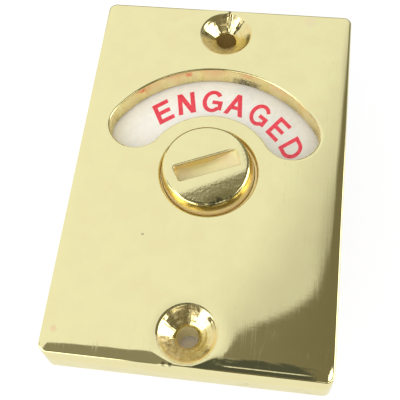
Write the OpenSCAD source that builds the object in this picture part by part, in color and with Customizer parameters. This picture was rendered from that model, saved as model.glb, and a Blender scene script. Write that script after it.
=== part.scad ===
// Toilet door indicator plate with a coin-release turn, lettered dial and square spindle.
// Millimetres. X to the right, Z up, the front faces -Y and the door face is the plane Y = 0.
// Heights below are measured from the door face towards the front.

/* [Face plate] */
// Width of the plate
plate_w = 51; // [48:0.5:56]
// Height of the plate
plate_h = 76; // [72:0.5:100]
// Thickness of the front wall over the dial
front_wall = 4.4; // [3:0.1:6]
// Depth of the dial's space behind the front wall
dial_space = 4.6; // [3.2:0.1:8]
// Rounding of the corners and of the front edges
edge_r = 0.8; // [0.3:0.1:1.5]
// Side wall left beside the dial pocket
side_rim = 1.3; // [1:0.1:3]
// Width of the rim round the corner pockets
rim_w = 2.4; // [1.4:0.1:4]
// Height of the corner pockets
corner_pocket_h = 17; // [12:0.5:24]
// Wall between the dial pocket and the corner pockets
pocket_wall = 1.8; // [1:0.1:3]
// Width of the solid web behind each screw hole
web_w = 16; // [11:0.5:22]

/* [Screw holes] */
// Distance of each screw hole from the plate's end
screw_edge = 6; // [5.5:0.1:7]
// Diameter of the screw holes
screw_d = 4.3; // [3:0.1:5.5]
// Diameter of the countersinks at the front
sink_d = 10.5; // [7:0.1:11]

/* [Window] */
// Width of the window across its arc
window_w = 10.8; // [7:0.1:12]
// Angle from the top to each end of the window
window_half = 58; // [35:1:75]

/* [Turn] */
// Distance of the turn's axis below the middle of the screw holes
turn_drop = 0.5; // [0:0.1:2]
// Diameter of the turn's head where it leaves the seat
turn_d = 18.2; // [16.5:0.1:20]
// Amount by which the head is narrower at its shoulder
turn_taper = 1.7; // [0.4:0.1:3]
// Height of the head above the plate
turn_rise = 2.7; // [1.2:0.1:4]
// Rounding of the head's top edge
turn_edge_r = 0.5; // [0.3:0.1:1]
// Radius the top is rounded over with below the coin slot
turn_roll_r = 20; // [14:0.5:60]
// Distance below the slot's middle where that rounding starts
turn_roll_at = 2.2; // [0.5:0.1:5]
// Depth of the seat sunk into the plate
seat_depth = 2; // [1:0.1:2.4]
// Gap round the head in its seat
seat_gap = 0.3; // [0.2:0.05:0.6]
// Radial running clearance of the journal
journal_gap = 0.05; // [0.02:0.01:0.1]
// Depth of each flat that keys the dial
flat_depth = 0.5; // [0.3:0.05:1]
// Step between the flats and the tail
tail_step = 0.2; // [0.1:0.05:0.4]
// Wall of the tail at the corners of its square socket
tail_wall = 0.9; // [0.6:0.1:1.6]
// Length of the tail behind the door face
tail_l = 9; // [7.5:0.5:16]

/* [Coin slot] */
// Length of the coin slot
slot_l = 12.1; // [9:0.1:14]
// Width of the coin slot
slot_w = 3.6; // [2:0.1:4.5]
// Depth of the slot at its deepest point
slot_depth = 2; // [1.2:0.1:3]
// Depth of the slot at its shallow end
slot_end_depth = 0.2; // [0.1:0.1:1]
// Distance of the deepest point from the slot's middle
slot_low = 1.5; // [0:0.1:3]
// Angle of the slot from level with the locked word showing
slot_angle = 22; // [0:1:90]

/* [Dial] */
// Overlap of the dial beyond the window's outer edge
dial_lap = 0.5; // [0.3:0.1:1.5]
// Gap between the dial and its pocket
dial_gap = 0.4; // [0.3:0.05:0.8]
// Thickness of the brass disc
disc_t = 0.9; // [0.5:0.1:1.5]
// Thickness of the white face
face_t = 0.3; // [0.1:0.05:0.5]
// Space between the plate and the disc for the crinkle washer
spring_space = 0.9; // [0.7:0.05:1.2]

/* [Stop] */
// Diameter of the stop pin
stop_d = 2; // [1.4:0.1:2.4]
// Depth of the stop pin's hole in the plate
stop_bite = 1.8; // [1:0.1:2]
// Length of the stop pin that shows behind the disc
stop_over = 0.3; // [0.1:0.1:0.8]
// Gap round the stop pin in the dial's curved slot
stop_gap = 0.25; // [0.1:0.05:0.4]
// Band of white face inside the curved slot
stop_band = 1.35; // [0.8:0.05:1.6]
// Turn of the dial between its two words
half_turn = 180; // [120:5:220]

/* [Washers and clip] */
// Thickness of the seat washer
seat_washer_t = 0.3; // [0.1:0.05:0.5]
// Radial width of the seat washer
seat_washer_w = 2.5; // [1.5:0.1:2.6]
// Gap between the journal and the washers round it
washer_gap = 0.4; // [0.2:0.05:0.6]
// Radial width of the crinkle washer
crinkle_w = 1.9; // [1.2:0.1:2.4]
// Thickness of the crinkle washer's strip
crinkle_t = 0.3; // [0.2:0.05:0.4]
// Gap between the crinkle washer and the white face
crinkle_gap = 0.5; // [0.3:0.1:0.8]
// Radial width of the back washer
back_washer_w = 3; // [2:0.1:4]
// Thickness of the back washer
back_washer_t = 0.5; // [0.3:0.05:0.8]
// Thickness of the circlip
clip_t = 0.8; // [0.5:0.05:1.2]
// Radial width of the circlip
clip_w = 1.8; // [1.2:0.1:2.4]
// Radius of the circlip's ears
clip_ear_r = 1.3; // [1:0.1:1.6]
// Radius of the plier holes in the ears
clip_hole_r = 0.5; // [0.3:0.05:0.6]
// Depth of the circlip's groove in the tail
groove_depth = 0.4; // [0.2:0.05:0.6]

/* [Spindle] */
// Width of the square spindle
spindle_w = 5; // [4.5:0.1:5.5]
// Gap round the spindle in its socket
socket_gap = 0.05; // [0.02:0.01:0.1]
// Solid length of tail between the socket and the circlip
socket_land = 0.5; // [0.3:0.1:1]
// Reach of the spindle behind the door face
spindle_reach = 50; // [30:1:62]
// Diameter of the cross pin
cross_pin_d = 2; // [1.2:0.1:2.5]
// Distance of the cross pin from the tail's end
cross_pin_at = 4; // [2.5:0.1:5]

/* [Hidden] */
$fn = 128;
over = 1;
press_gap = 0.02;
run_gap = 0.05;
plate_t = front_wall + dial_space;
floor_h = dial_space;
pocket_r = plate_w / 2 - side_rim;
dial_r = pocket_r - dial_gap;
window_r = dial_r - dial_lap - window_w / 2;
seat_h = plate_t - seat_depth;
seat_r = turn_d / 2 + seat_gap;
socket_w = spindle_w + 2 * socket_gap;
tail_r = socket_w * sqrt(2) / 2 + tail_wall;
flats_w = 2 * (tail_r + tail_step);
journal_r = flats_w / 2 + flat_depth;
groove_r = tail_r - groove_depth;
head_h = seat_h + seat_washer_t + run_gap;
top_h = plate_t + turn_rise;
shoulder_r = (turn_d - turn_taper) / 2;
disc_front_h = floor_h - spring_space;
disc_back_h = disc_front_h - disc_t;
washer_back_h = disc_back_h - back_washer_t;
clip_back_h = washer_back_h - clip_t;
socket_top_h = clip_back_h - socket_land;
crinkle_in_r = journal_r + washer_gap;
crinkle_out_r = crinkle_in_r + crinkle_w;
crinkle_waves = 3;
crinkle_steps = 72;
face_in_r = crinkle_out_r + crinkle_gap;
stop_slot_w = stop_d + 2 * stop_gap;
stop_r = face_in_r + stop_band + stop_slot_w / 2;
clip_ear_angle = 24;
clip_mouth_angle = 12;

// Stands a front-view drawing up: drawn Y becomes Z and height runs towards the front.
module standing() {
  rotate([90, 0, 0]) children();
}

// Stands up a drawing made round the turn's axis.
module on_axis() {
  standing() translate([0, -turn_drop, 0]) children();
}

module raised(from_h, to_h) {
  translate([0, 0, from_h]) linear_extrude(to_h - from_h) children();
}

module ring(in_r, out_r) {
  difference() {
    circle(out_r);
    circle(in_r);
  }
}

module rounded_sheet(w, h, r) {
  square([w - 2 * r, h], center = true);
  square([w, h - 2 * r], center = true);
  for (sx = [-1, 1], sy = [-1, 1])
    translate([sx * (w / 2 - r), sy * (h / 2 - r)]) circle(r);
}

// Section of a slab with its two front edges rounded.
module rounded_front(w) {
  translate([-w / 2, 0]) square([w, plate_t - edge_r]);
  translate([edge_r - w / 2, 0]) square([w - 2 * edge_r, plate_t]);
  for (s = [-1, 1])
    translate([s * (w / 2 - edge_r), plate_t - edge_r]) circle(edge_r);
}

// Curved slot with round ends, angles clockwise from the top. The ends are a little fuller than
// half-round, so that they cross the sides cleanly.
module arc_slot(mid_r, width, from_a, to_a) {
  fan = [for (i = [0:6]) from_a + (to_a - from_a) * i / 6];
  intersection() {
    ring(mid_r - width / 2, mid_r + width / 2);
    union() {
      polygon(concat([[0, 0]], [for (a = fan) 2 * mid_r * [sin(a), cos(a)]]));
      for (a = [from_a, to_a])
        rotate(-a) translate([0, mid_r]) circle(width / 2 + run_gap);
    }
  }
}

// Section of the keyed part of the turn, a circle with two flats.
module keyed_section(gap) {
  intersection() {
    circle(journal_r + gap);
    square([4 * journal_r, flats_w + 2 * gap], center = true);
  }
}

module cross_hole() {
  translate([0, 0, cross_pin_at - tail_l]) rotate([90, 0, 0])
    cylinder(d = cross_pin_d + 2 * press_gap, h = 4 * tail_r, center = true);
}

module plate_blank() {
  intersection() {
    linear_extrude(plate_t) rounded_sheet(plate_w, plate_h, edge_r);
    rotate([90, 0, 0])
      linear_extrude(2 * plate_h, center = true) rounded_front(plate_w);
    rotate([90, 0, 90])
      linear_extrude(2 * plate_w, center = true) rounded_front(plate_h);
  }
}

module corner_pockets() {
  side_w = plate_w / 2 - rim_w - web_w / 2;
  low_z = plate_h / 2 - rim_w - corner_pocket_h;
  difference() {
    for (mx = [0, 1], my = [0, 1])
      mirror([mx, 0, 0]) mirror([0, my, 0])
        translate([web_w / 2, low_z]) square([side_w, corner_pocket_h]);
    translate([0, -turn_drop]) circle(pocket_r + pocket_wall);
  }
}

module screw_holes() {
  cone_h = (sink_d - screw_d) / 2;
  for (s = [-1, 1])
    translate([0, s * (plate_h / 2 - screw_edge), 0]) {
      translate([0, 0, -over]) cylinder(d = screw_d, h = plate_t + over);
      translate([0, 0, plate_t - cone_h])
        cylinder(d1 = screw_d, d2 = sink_d + 2 * over, h = cone_h + over);
    }
}

// Everything cut round the turn's axis: dial pocket, window, bore, seat and stop hole.
module axis_cuts() {
  raised(-over, floor_h) circle(pocket_r);
  raised(floor_h - over, plate_t + over)
    arc_slot(window_r, window_w, -window_half, window_half);
  raised(floor_h - over, plate_t) circle(journal_r + journal_gap);
  raised(seat_h, plate_t + over) circle(seat_r);
  translate([0, -stop_r, floor_h - over])
    cylinder(d = stop_d + 2 * press_gap, h = stop_bite + over);
}

module face_plate() {
  color([0.91, 0.86, 0.58])
    standing()
      difference() {
        plate_blank();
        raised(-over, floor_h) corner_pockets();
        translate([0, -turn_drop, 0]) axis_cuts();
        screw_holes();
      }
}

module head_section() {
  shoulder_h = top_h - turn_edge_r;
  translate([0, head_h]) square([turn_d / 2, plate_t - head_h]);
  polygon([[0, plate_t], [turn_d / 2, plate_t], [shoulder_r, shoulder_h], [0, shoulder_h]]);
  translate([0, head_h]) square([shoulder_r - turn_edge_r, top_h - head_h]);
  translate([shoulder_r - turn_edge_r, shoulder_h]) circle(turn_edge_r);
}

// Part taken off the head where its top is rounded over below the slot.
module top_roll() {
  axis_h = top_h - sqrt(turn_roll_r * turn_roll_r - turn_roll_at * turn_roll_at);
  difference() {
    translate([-turn_d, -turn_d, axis_h])
      cube([2 * turn_d, turn_d - turn_roll_at / 2, turn_roll_r + over]);
    translate([0, 0, axis_h])
      rotate([0, 90, 0]) cylinder(r = turn_roll_r, h = 3 * turn_d, center = true, $fn = 360);
  }
}

// Slot with a floor curved like a coin's edge, shallower at one end.
module coin_slot() {
  sag = slot_depth - slot_end_depth;
  reach = slot_l / 2 + slot_low;
  floor_r = (reach * reach + sag * sag) / (2 * sag);
  intersection() {
    translate([-slot_l / 2, -slot_w / 2, top_h - slot_depth - over])
      cube([slot_l, slot_w, slot_depth + 2 * over]);
    translate([-slot_low, 0, top_h - slot_depth + floor_r])
      rotate([90, 0, 0]) cylinder(r = floor_r, h = 2 * slot_w, center = true, $fn = 360);
  }
}

module release_turn() {
  color([0.89, 0.83, 0.55])
    on_axis()
      rotate(slot_angle)
        difference() {
          union() {
            rotate_extrude() head_section();
            raised(disc_front_h, head_h + over) circle(journal_r);
            raised(disc_back_h, disc_front_h + over) keyed_section(0);
            raised(-tail_l, disc_back_h + disc_t / 2) circle(tail_r);
          }
          top_roll();
          coin_slot();
          raised(clip_back_h - press_gap, washer_back_h + press_gap) ring(groove_r, tail_r + over);
          raised(-tail_l - over, socket_top_h) square(socket_w, center = true);
          cross_hole();
        }
}

module dial_face() {
  color([0.93, 0.93, 0.91])
    on_axis()
      raised(disc_front_h, disc_front_h + face_t)
        difference() {
          ring(face_in_r, dial_r);
          arc_slot(stop_r, stop_slot_w, 180, 180 + half_turn);
        }
}

module dial_disc() {
  color([0.78, 0.66, 0.36])
    on_axis()
      raised(disc_back_h, disc_front_h)
        difference() {
          circle(dial_r);
          rotate(slot_angle) keyed_section(press_gap);
          arc_slot(stop_r, stop_slot_w, 180, 180 + half_turn);
        }
}

module seat_washer() {
  in_r = journal_r + washer_gap;
  color([0.85, 0.83, 0.76])
    on_axis()
      raised(seat_h, seat_h + seat_washer_t) ring(in_r, in_r + seat_washer_w);
}

// Wavy ring: each crest meets the plate and each hollow the disc.
module crinkle_washer() {
  mid_h = (disc_front_h + floor_h) / 2;
  wave = (spring_space - crinkle_t) / 2 - run_gap;
  half_t = crinkle_t / 2;
  turns = [for (i = [0:crinkle_steps - 1]) i * 360 / crinkle_steps];
  corners = [
    [crinkle_in_r, -half_t],
    [crinkle_out_r, -half_t],
    [crinkle_out_r, half_t],
    [crinkle_in_r, half_t]
  ];
  points = [
    for (a = turns, c = corners)
      [c[0] * cos(a), c[0] * sin(a), mid_h + wave * cos(crinkle_waves * a) + c[1]]
  ];
  sides = [
    for (i = [0:crinkle_steps - 1], k = [0:3])
      let (j = (i + 1) % crinkle_steps, m = (k + 1) % 4)
        [[4 * i + k, 4 * i + m, 4 * j + m], [4 * i + k, 4 * j + m, 4 * j + k]]
  ];
  color([0.62, 0.63, 0.65])
    on_axis()
      polyhedron(points, [for (pair = sides, side = pair) side]);
}

module back_washer() {
  in_r = tail_r + press_gap;
  color([0.8, 0.69, 0.4])
    on_axis()
      raised(washer_back_h, disc_back_h) ring(in_r, in_r + back_washer_w);
}

module circlip() {
  out_r = groove_r + clip_w;
  mouth = 2 * out_r * [sin(clip_mouth_angle), cos(clip_mouth_angle)];
  color([0.3, 0.31, 0.33])
    on_axis()
      raised(clip_back_h, washer_back_h)
        difference() {
          union() {
            circle(out_r);
            for (s = [-1, 1])
              rotate(s * clip_ear_angle) translate([0, out_r - clip_ear_r / 3]) circle(clip_ear_r);
          }
          circle(groove_r + press_gap);
          polygon([[0, 0], [-mouth[0], mouth[1]], mouth]);
          for (s = [-1, 1])
            rotate(s * clip_ear_angle) translate([0, out_r - clip_ear_r / 3]) circle(clip_hole_r);
        }
}

module stop_pin() {
  tip_h = disc_back_h - stop_over;
  color([0.7, 0.7, 0.72])
    on_axis()
      translate([0, -stop_r, tip_h]) cylinder(d = stop_d, h = floor_h + stop_bite - run_gap - tip_h);
}

module spindle() {
  color([0.66, 0.67, 0.69])
    on_axis()
      rotate(slot_angle)
        difference() {
          raised(-spindle_reach, socket_top_h - run_gap) square(spindle_w, center = true);
          cross_hole();
        }
}

module spindle_pin() {
  color([0.6, 0.6, 0.62])
    on_axis()
      rotate(slot_angle)
        translate([0, 0, cross_pin_at - tail_l]) rotate([90, 0, 0])
          cylinder(d = cross_pin_d, h = 2 * tail_r, center = true);
}

face_plate();
release_turn();
dial_face();
dial_disc();
seat_washer();
crinkle_washer();
back_washer();
circlip();
stop_pin();
spindle();
spindle_pin();
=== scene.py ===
import math

import bmesh
import bpy
import numpy as np
from mathutils import Matrix, Vector, kdtree, noise
from mathutils.geometry import delaunay_2d_cdt


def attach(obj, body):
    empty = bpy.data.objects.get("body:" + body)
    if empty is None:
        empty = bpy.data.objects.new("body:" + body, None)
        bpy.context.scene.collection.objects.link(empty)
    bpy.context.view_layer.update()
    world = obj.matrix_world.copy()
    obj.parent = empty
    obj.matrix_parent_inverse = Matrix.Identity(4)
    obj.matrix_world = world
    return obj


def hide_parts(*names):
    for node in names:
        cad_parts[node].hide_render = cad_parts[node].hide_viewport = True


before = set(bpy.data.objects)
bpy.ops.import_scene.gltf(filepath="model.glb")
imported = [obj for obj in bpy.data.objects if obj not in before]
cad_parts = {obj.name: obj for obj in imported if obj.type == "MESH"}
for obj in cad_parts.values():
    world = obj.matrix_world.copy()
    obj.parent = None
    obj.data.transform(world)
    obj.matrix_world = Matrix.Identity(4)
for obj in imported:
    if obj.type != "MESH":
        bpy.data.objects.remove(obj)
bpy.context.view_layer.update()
scene = bpy.context.scene
scene.view_settings.view_transform = "Standard"
print("frame loaded:", len(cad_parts), "CAD nodes")

# the plate's front faces -Y, its long side runs along Z
# sizes below are millimetres, only the shaders, the backdrop and the lamp use metres
mm = 0.001
axisZ = -0.5  # the turn's axis lies a little below the middle of the screw holes
perCircle = 160  # points round each circle about that axis


def place(x, z, h):
    # a point of the front view at height h above the door face
    return (x * mm, -h * mm, z * mm)


def addObject(name, data):
    obj = bpy.data.objects.new(name, data)
    scene.collection.objects.link(obj)
    return obj


# camera at the photograph's angle

cameraView = {
    "lens": 76.62, "sensor": 36, "clip": (0.005, 20),
    "shift": (0.0568, -0.1084),
    "spot": (14.65, -151.53, -74.60),
    "right": (0.98848, 0.07325, 0.13247),
    "up": (-0.08127, -0.48150, 0.87267),
    "back": (0.12771, -0.87338, -0.46999),
}


def makeCamera():
    v = cameraView
    data = bpy.data.cameras.new("photoCamera")
    data.lens = v["lens"]
    data.sensor_width = v["sensor"]
    data.sensor_fit = "HORIZONTAL"
    data.shift_x, data.shift_y = v["shift"]
    data.clip_start, data.clip_end = v["clip"]
    cam = addObject("photoCamera", data)
    turn = Matrix((v["right"], v["up"], v["back"])).transposed().to_4x4()
    cam.matrix_world = Matrix.Translation(Vector(v["spot"]) * mm) @ turn
    scene.camera = cam


makeCamera()
print("camera placed")

# small helpers


def clamped(v):
    return min(1.0, max(0.0, v))


def eased(v):
    # slow at both ends
    return v * v * (3 - 2 * v)


def between(a, b, share):
    return (a[0] + (b[0] - a[0]) * share, a[1] + (b[1] - a[1]) * share)


def noiseAt(x, y, z):
    return noise.noise(Vector((x, y, z)))


def quarterRound(radius, steps, turn=math.pi / 2):
    # steps from a flat into a wall: share of the way, reach sideways and down
    angles = [turn * i / steps for i in range(steps + 1)]
    return [(i / steps, radius * math.sin(a), radius * (1 - math.cos(a))) for i, a in enumerate(angles)]


# mesh tools: rings of points joined by bands of quads, flat areas filled between rings

# row, shake and gap are shares of the pitch
sheetGrid = {"seed": 7, "row": 0.87, "shake": 0.06, "gap": 0.55, "extraGap": 0.16}


def startMesh():
    return {"points": [], "tone": [], "dull": [], "faces": [], "slots": []}


def valueAt(value, x, z):
    return value(x, z) if callable(value) else value


def addPoint(m, x, z, h, tone=0.0, dull=None):
    # tone deepens the colour at the point, dull roughens it
    m["points"].append((x, z, h))
    m["tone"].append(tone)
    m["dull"].append(tone if dull is None else dull)
    return len(m["points"]) - 1


def addRing(m, outline, height, tone=0.0, dull=None):
    # height, tone and dull may be functions of the place, height a list too
    ring = []
    for i, (x, z) in enumerate(outline):
        h = height[i] if isinstance(height, list) else valueAt(height, x, z)
        ring.append(addPoint(m, x, z, h, valueAt(tone, x, z), valueAt(dull, x, z)))
    return ring


def axisRing(m, r, height, tone=0.0, dull=None):
    return addRing(m, circleOutline(0, axisZ, r, perCircle), height, tone, dull)


def roundRings(m, top, outlineAt, steps, tone, dull):
    # steps come from quarterRound, outlineAt(d) is the outline d sideways of the flat's edge
    # tone and dull are given the share of the way and may return functions of the place
    heights = [top(x, z) for x, z in outlineAt(0)]
    return [
        addRing(m, outlineAt(side), [h - down for h in heights], tone(share), dull(share))
        for share, side, down in steps
    ]


def addFace(m, corners, slot=0):
    m["faces"].append(tuple(corners))
    m["slots"].append(slot)


def band(m, a, b, slot=0):
    n = len(a)
    for i in range(n):
        j = (i + 1) % n
        addFace(m, (a[i], a[j], b[j], b[i]), slot)


def bandAll(m, rings, slot=0):
    for a, b in zip(rings, rings[1:]):
        band(m, a, b, slot)


def inRings(outlines, x, z):
    # even-odd test over all outlines together
    hit = np.zeros(np.shape(x), bool)
    for o in outlines:
        p = np.asarray(o, float)
        for (ax, az), (bx, bz) in zip(p, np.roll(p, -1, axis=0)):
            if az != bz:
                hit ^= ((az > z) != (bz > z)) & (x < (bx - ax) * (z - az) / (bz - az) + ax)
    return hit


def triangulate(flat, edges, near):
    # spots, triangles, the triangles' middles and the points each spot came from
    made = delaunay_2d_cdt([Vector(p) for p in flat], edges, [], 0, near)
    spots, tris = np.array([tuple(v) for v in made[0]]), np.array(made[2])
    return spots, tris, spots[tris].mean(axis=1), made[3]


def fillSheet(m, rings, height, slot=0, pitch=None, tone=0.0, dull=None, extra=()):
    # fills the area between index rings, with inner points every pitch where the sheet is curved
    # extra points go in first and crowd the grid out round them
    g = sheetGrid
    outlines = [[m["points"][i][:2] for i in r] for r in rings]
    index = [i for r in rings for i in r]
    flat = [m["points"][i][:2] for i in index]
    edges, first = [], 0
    for r in rings:
        n = len(r)
        edges += [(first + i, first + (i + 1) % n) for i in range(n)]
        first += n
    if pitch:
        xs, zs = zip(*flat)
        gx, gz = np.meshgrid(np.arange(min(xs), max(xs), pitch), np.arange(min(zs), max(zs), pitch * g["row"]))
        gx = gx + (np.arange(gx.shape[0]) % 2)[:, None] * pitch / 2  # staggered rows
        # shaken a little, so that no three points are in line
        shake = np.random.default_rng(g["seed"]).uniform(-g["shake"], g["shake"], (2,) + gx.shape) * pitch
        gx, gz = gx + shake[0], gz + shake[1]
        batches = [(np.array(e), g["extraGap"]) for e in extra]
        batches.append((np.stack([gx.ravel(), gz.ravel()], 1), pitch * g["gap"]))
        for spots, gap in batches:
            tree = kdtree.KDTree(len(flat))
            for i, (x, z) in enumerate(flat):
                tree.insert((x, z, 0), i)
            tree.balance()
            for x, z in spots[inRings(outlines, spots[:, 0], spots[:, 1])]:
                if tree.find((x, z, 0))[2] > gap:
                    index.append(addPoint(m, x, z, valueAt(height, x, z), tone, dull))
                    flat.append((x, z))
    tris, mids, origins = triangulate(flat, edges, 1e-7)[1:]
    for tri in tris[inRings(outlines, mids[:, 0], mids[:, 1])]:
        addFace(m, [index[origins[i][0]] for i in tri], slot)


def finishMesh(m, name, materials, sharpAngle=38):
    mesh = bpy.data.meshes.new(name)
    mesh.from_pydata([place(*p) for p in m["points"]], [], m["faces"])
    mesh.polygons.foreach_set("material_index", m["slots"])
    for label in ("tone", "dull"):
        mesh.attributes.new(label, "FLOAT", "POINT").data.foreach_set("value", m[label])
    for mat in materials:
        mesh.materials.append(mat)
    bm = bmesh.new()
    bm.from_mesh(mesh)
    bmesh.ops.recalc_face_normals(bm, faces=bm.faces)
    bm.to_mesh(mesh)
    bm.free()
    mesh.shade_smooth()
    mesh.set_sharp_from_angle(angle=math.radians(sharpAngle))
    mesh.update()
    return addObject(name, mesh)


def faceFront(obj):
    for poly in obj.data.polygons:
        if poly.normal.y > 0:
            poly.flip()


def circleOutline(cx, cz, r, n):
    angles = [2 * math.pi * i / n for i in range(n)]
    return [(cx + r * math.cos(a), cz + r * math.sin(a)) for a in angles]


def boxOutline(w, h, r, perCorner=8, perSide=24, turn=0.0, cx=0.0, cz=0.0, belly=0.0):
    # rounded rectangle with points along its sides, which may bulge a little
    r = max(r, 0.02)
    corners = [(sx * (w / 2 - r), sz * (h / 2 - r)) for sx, sz in ((1, 1), (-1, 1), (-1, -1), (1, -1))]
    spots = []
    for k, (ox, oz) in enumerate(corners):
        for i in range(perCorner + 1):
            a = math.pi / 2 * (k + i / perCorner)
            spots.append((ox + r * math.cos(a), oz + r * math.sin(a)))
        ex, ez = corners[(k + 1) % 4]
        a = math.pi / 2 * (k + 1)
        for i in range(1, perSide):
            t = i / perSide
            out = r + belly * math.sin(math.pi * t)
            spots.append((ox + (ex - ox) * t + out * math.cos(a), oz + (ez - oz) * t + out * math.sin(a)))
    c, s = math.cos(turn), math.sin(turn)
    return [(cx + x * c - z * s, cz + x * s + z * c) for x, z in spots]


def archOutline(midR, halfW, halfAngle, outerSteps=96, endSteps=28, innerSteps=56):
    # curved window with round ends about the turn's axis
    a0 = math.radians(halfAngle)

    def spotAt(r, a):
        return (r * math.sin(a), axisZ + r * math.cos(a))

    spots = [spotAt(midR + halfW, a0 - 2 * a0 * i / outerSteps) for i in range(outerSteps)]
    for side, count in ((-1, innerSteps), (1, 0)):
        cx, cz = spotAt(midR, side * a0)
        ux, uz = math.sin(side * a0), math.cos(side * a0)
        tx, tz = side * math.cos(a0), -side * math.sin(side * a0)
        for i in range(endSteps):
            b = math.pi * i / endSteps
            out, along = -side * halfW * math.cos(b), halfW * math.sin(b)
            spots.append((cx + ux * out + tx * along, cz + uz * out + tz * along))
        spots += [spotAt(midR - halfW, -a0 + 2 * a0 * i / count) for i in range(count)]
    return spots


# shader tools; the id_data of a socket or node is the node tree it belongs to


def newMaterial(name):
    mat = bpy.data.materials.new(name)
    mat.use_nodes = True
    tree = mat.node_tree
    return mat, tree, tree.nodes["Principled BSDF"]


def feed(value, socket):
    # a plain value is set on the socket, anything else is linked to it
    if isinstance(value, (int, float, tuple)):
        socket.default_value = value
    else:
        socket.id_data.links.new(value, socket)


def addNode(tree, kind, inputs=None):
    node = tree.nodes.new("ShaderNode" + kind)
    for label, value in (inputs or {}).items():
        feed(value, node.inputs[label])
    return node


def newGroup(name, inputs, outputs):
    # a Vector and plain values go in, plain values come out
    tree = bpy.data.node_groups.new(name, "ShaderNodeTree")
    tree.interface.new_socket("Vector", in_out="INPUT", socket_type="NodeSocketVector")
    for label, value in inputs.items():
        tree.interface.new_socket(label, in_out="INPUT", socket_type="NodeSocketFloat").default_value = value
    for label in outputs:
        tree.interface.new_socket(label, in_out="OUTPUT", socket_type="NodeSocketFloat")
    return tree, tree.nodes.new("NodeGroupInput").outputs, tree.nodes.new("NodeGroupOutput").inputs


def useGroup(group, vector, values):
    node = addNode(vector.id_data, "Group")
    node.node_tree = group
    for label, value in dict(values, Vector=vector).items():
        feed(value, node.inputs[label])
    return node.outputs


def mathNode(kind, a, b=None, clamp=False):
    node = addNode(a.id_data, "Math")
    node.operation = kind
    node.use_clamp = clamp
    feed(a, node.inputs[0])
    if b is not None:
        feed(b, node.inputs[1])
    return node.outputs[0]


def times(a, b, clamp=False):
    return mathNode("MULTIPLY", a, b, clamp)


def plus(a, b):
    return mathNode("ADD", a, b)


def mixColour(factor, a, b):
    node = addNode(factor.id_data, "Mix")
    node.data_type = "RGBA"
    for socket, v in ((node.inputs["Factor"], factor), (node.inputs[6], a), (node.inputs[7], b)):
        feed(v, socket)
    return node.outputs[2]


def rampNode(value, low, high, outLow=0.0, outHigh=1.0):
    inputs = {"Value": value, "From Min": low, "From Max": high, "To Min": outLow, "To Max": outHigh}
    return addNode(value.id_data, "MapRange", inputs).outputs["Result"]


def noiseNode(vector, scale, detail=2.0, rough=0.5, turn=0.0):
    # three scales stretch the noise, turned in the front view
    tree = vector.id_data
    if isinstance(scale, tuple):
        inputs = {"Vector": vector, "Scale": scale, "Rotation": (0, turn, 0)}
        vector, scale = addNode(tree, "Mapping", inputs).outputs["Vector"], 1.0
    inputs = {"Vector": vector, "Scale": scale, "Detail": detail, "Roughness": rough}
    return addNode(tree, "TexNoise", inputs).outputs["Fac"]


def objectSpot(tree):
    return addNode(tree, "TexCoord").outputs["Object"]


def splitSpot(vector):
    return addNode(vector.id_data, "SeparateXYZ", {"Vector": vector}).outputs


def pointValue(tree, label):
    node = addNode(tree, "Attribute")
    node.attribute_name = label
    return node.outputs["Fac"]


def paint(bsdf, colour, rough, metallic=0.0):
    for label, value in (("Base Color", colour), ("Roughness", rough), ("Metallic", metallic)):
        feed(value, bsdf.inputs[label])


def bumpFrom(bsdf, height, strength, distance):
    inputs = {"Strength": strength, "Distance": distance, "Height": height}
    feed(addNode(bsdf.id_data, "Bump", inputs).outputs["Normal"], bsdf.inputs["Normal"])


def showMix(factor, first, second):
    # two shaders mixed on the surface
    tree = factor.id_data
    mix = addNode(tree, "MixShader", {"Fac": factor})
    feed(first.outputs[0], mix.inputs[1])
    feed(second.outputs[0], mix.inputs[2])
    feed(mix.outputs[0], tree.nodes["Material Output"].inputs["Surface"])


def clearBehind(shader):
    tree = shader.id_data
    showMix(addNode(tree, "NewGeometry").outputs["Backfacing"], shader, addNode(tree, "BsdfTransparent"))


# effects shared by the metals

polishLook = {
    "wave": (90, 90, 60), "ripple": 1700.0,
    "wheel": (2600, 2600, 60), "cross": (240, 240, 2200), "crossTurn": 0.35, "crossShare": 0.5, "markHeight": 0.012,
    "scratch": (900, 300, 34), "scratchLines": ((0.62, 0.014), (-0.5, 0.012), (0.08, 0.01)),  # turn, width
    "scratchPatch": 150.0,
}


def makePolishGroup():
    # fine wheel marks along one direction, slow hand-polish waves and a few stray scratches
    k = polishLook
    inputs = {"Wave": 1.0, "Ripple": 0.0, "Marks": 1.0, "Scratch": 0.0}
    tree, gin, gout = newGroup("polishMarks", inputs, ("Height", "Mask", "Scratch"))
    spot = gin["Vector"]
    wave = noiseNode(spot, k["wave"], 1.0)
    wheel = noiseNode(spot, k["wheel"], 3.0, 0.6)
    cross = noiseNode(spot, k["cross"], 2.0, turn=k["crossTurn"])
    marks = plus(wheel, times(cross, k["crossShare"]))
    ripple = noiseNode(spot, k["ripple"], 3.0, 0.65)
    lines = None
    for turn, thin in k["scratchLines"]:
        drift = noiseNode(spot, k["scratch"], 0.0, turn=turn)
        near = mathNode("ABSOLUTE", mathNode("SUBTRACT", drift, 0.5))
        line = rampNode(near, thin, 0.0)
        lines = line if lines is None else mathNode("MAXIMUM", lines, line)
    where = rampNode(noiseNode(spot, k["scratchPatch"], 3.0, 0.6), 0.5, 0.62)
    feed(times(times(lines, where), gin["Scratch"]), gout["Scratch"])
    slow = plus(times(wave, gin["Wave"]), times(ripple, gin["Ripple"]))
    feed(plus(slow, times(marks, times(gin["Marks"], k["markHeight"]))), gout["Height"])
    feed(rampNode(marks, 0.55, 1.0), gout["Mask"])
    return tree


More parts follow.
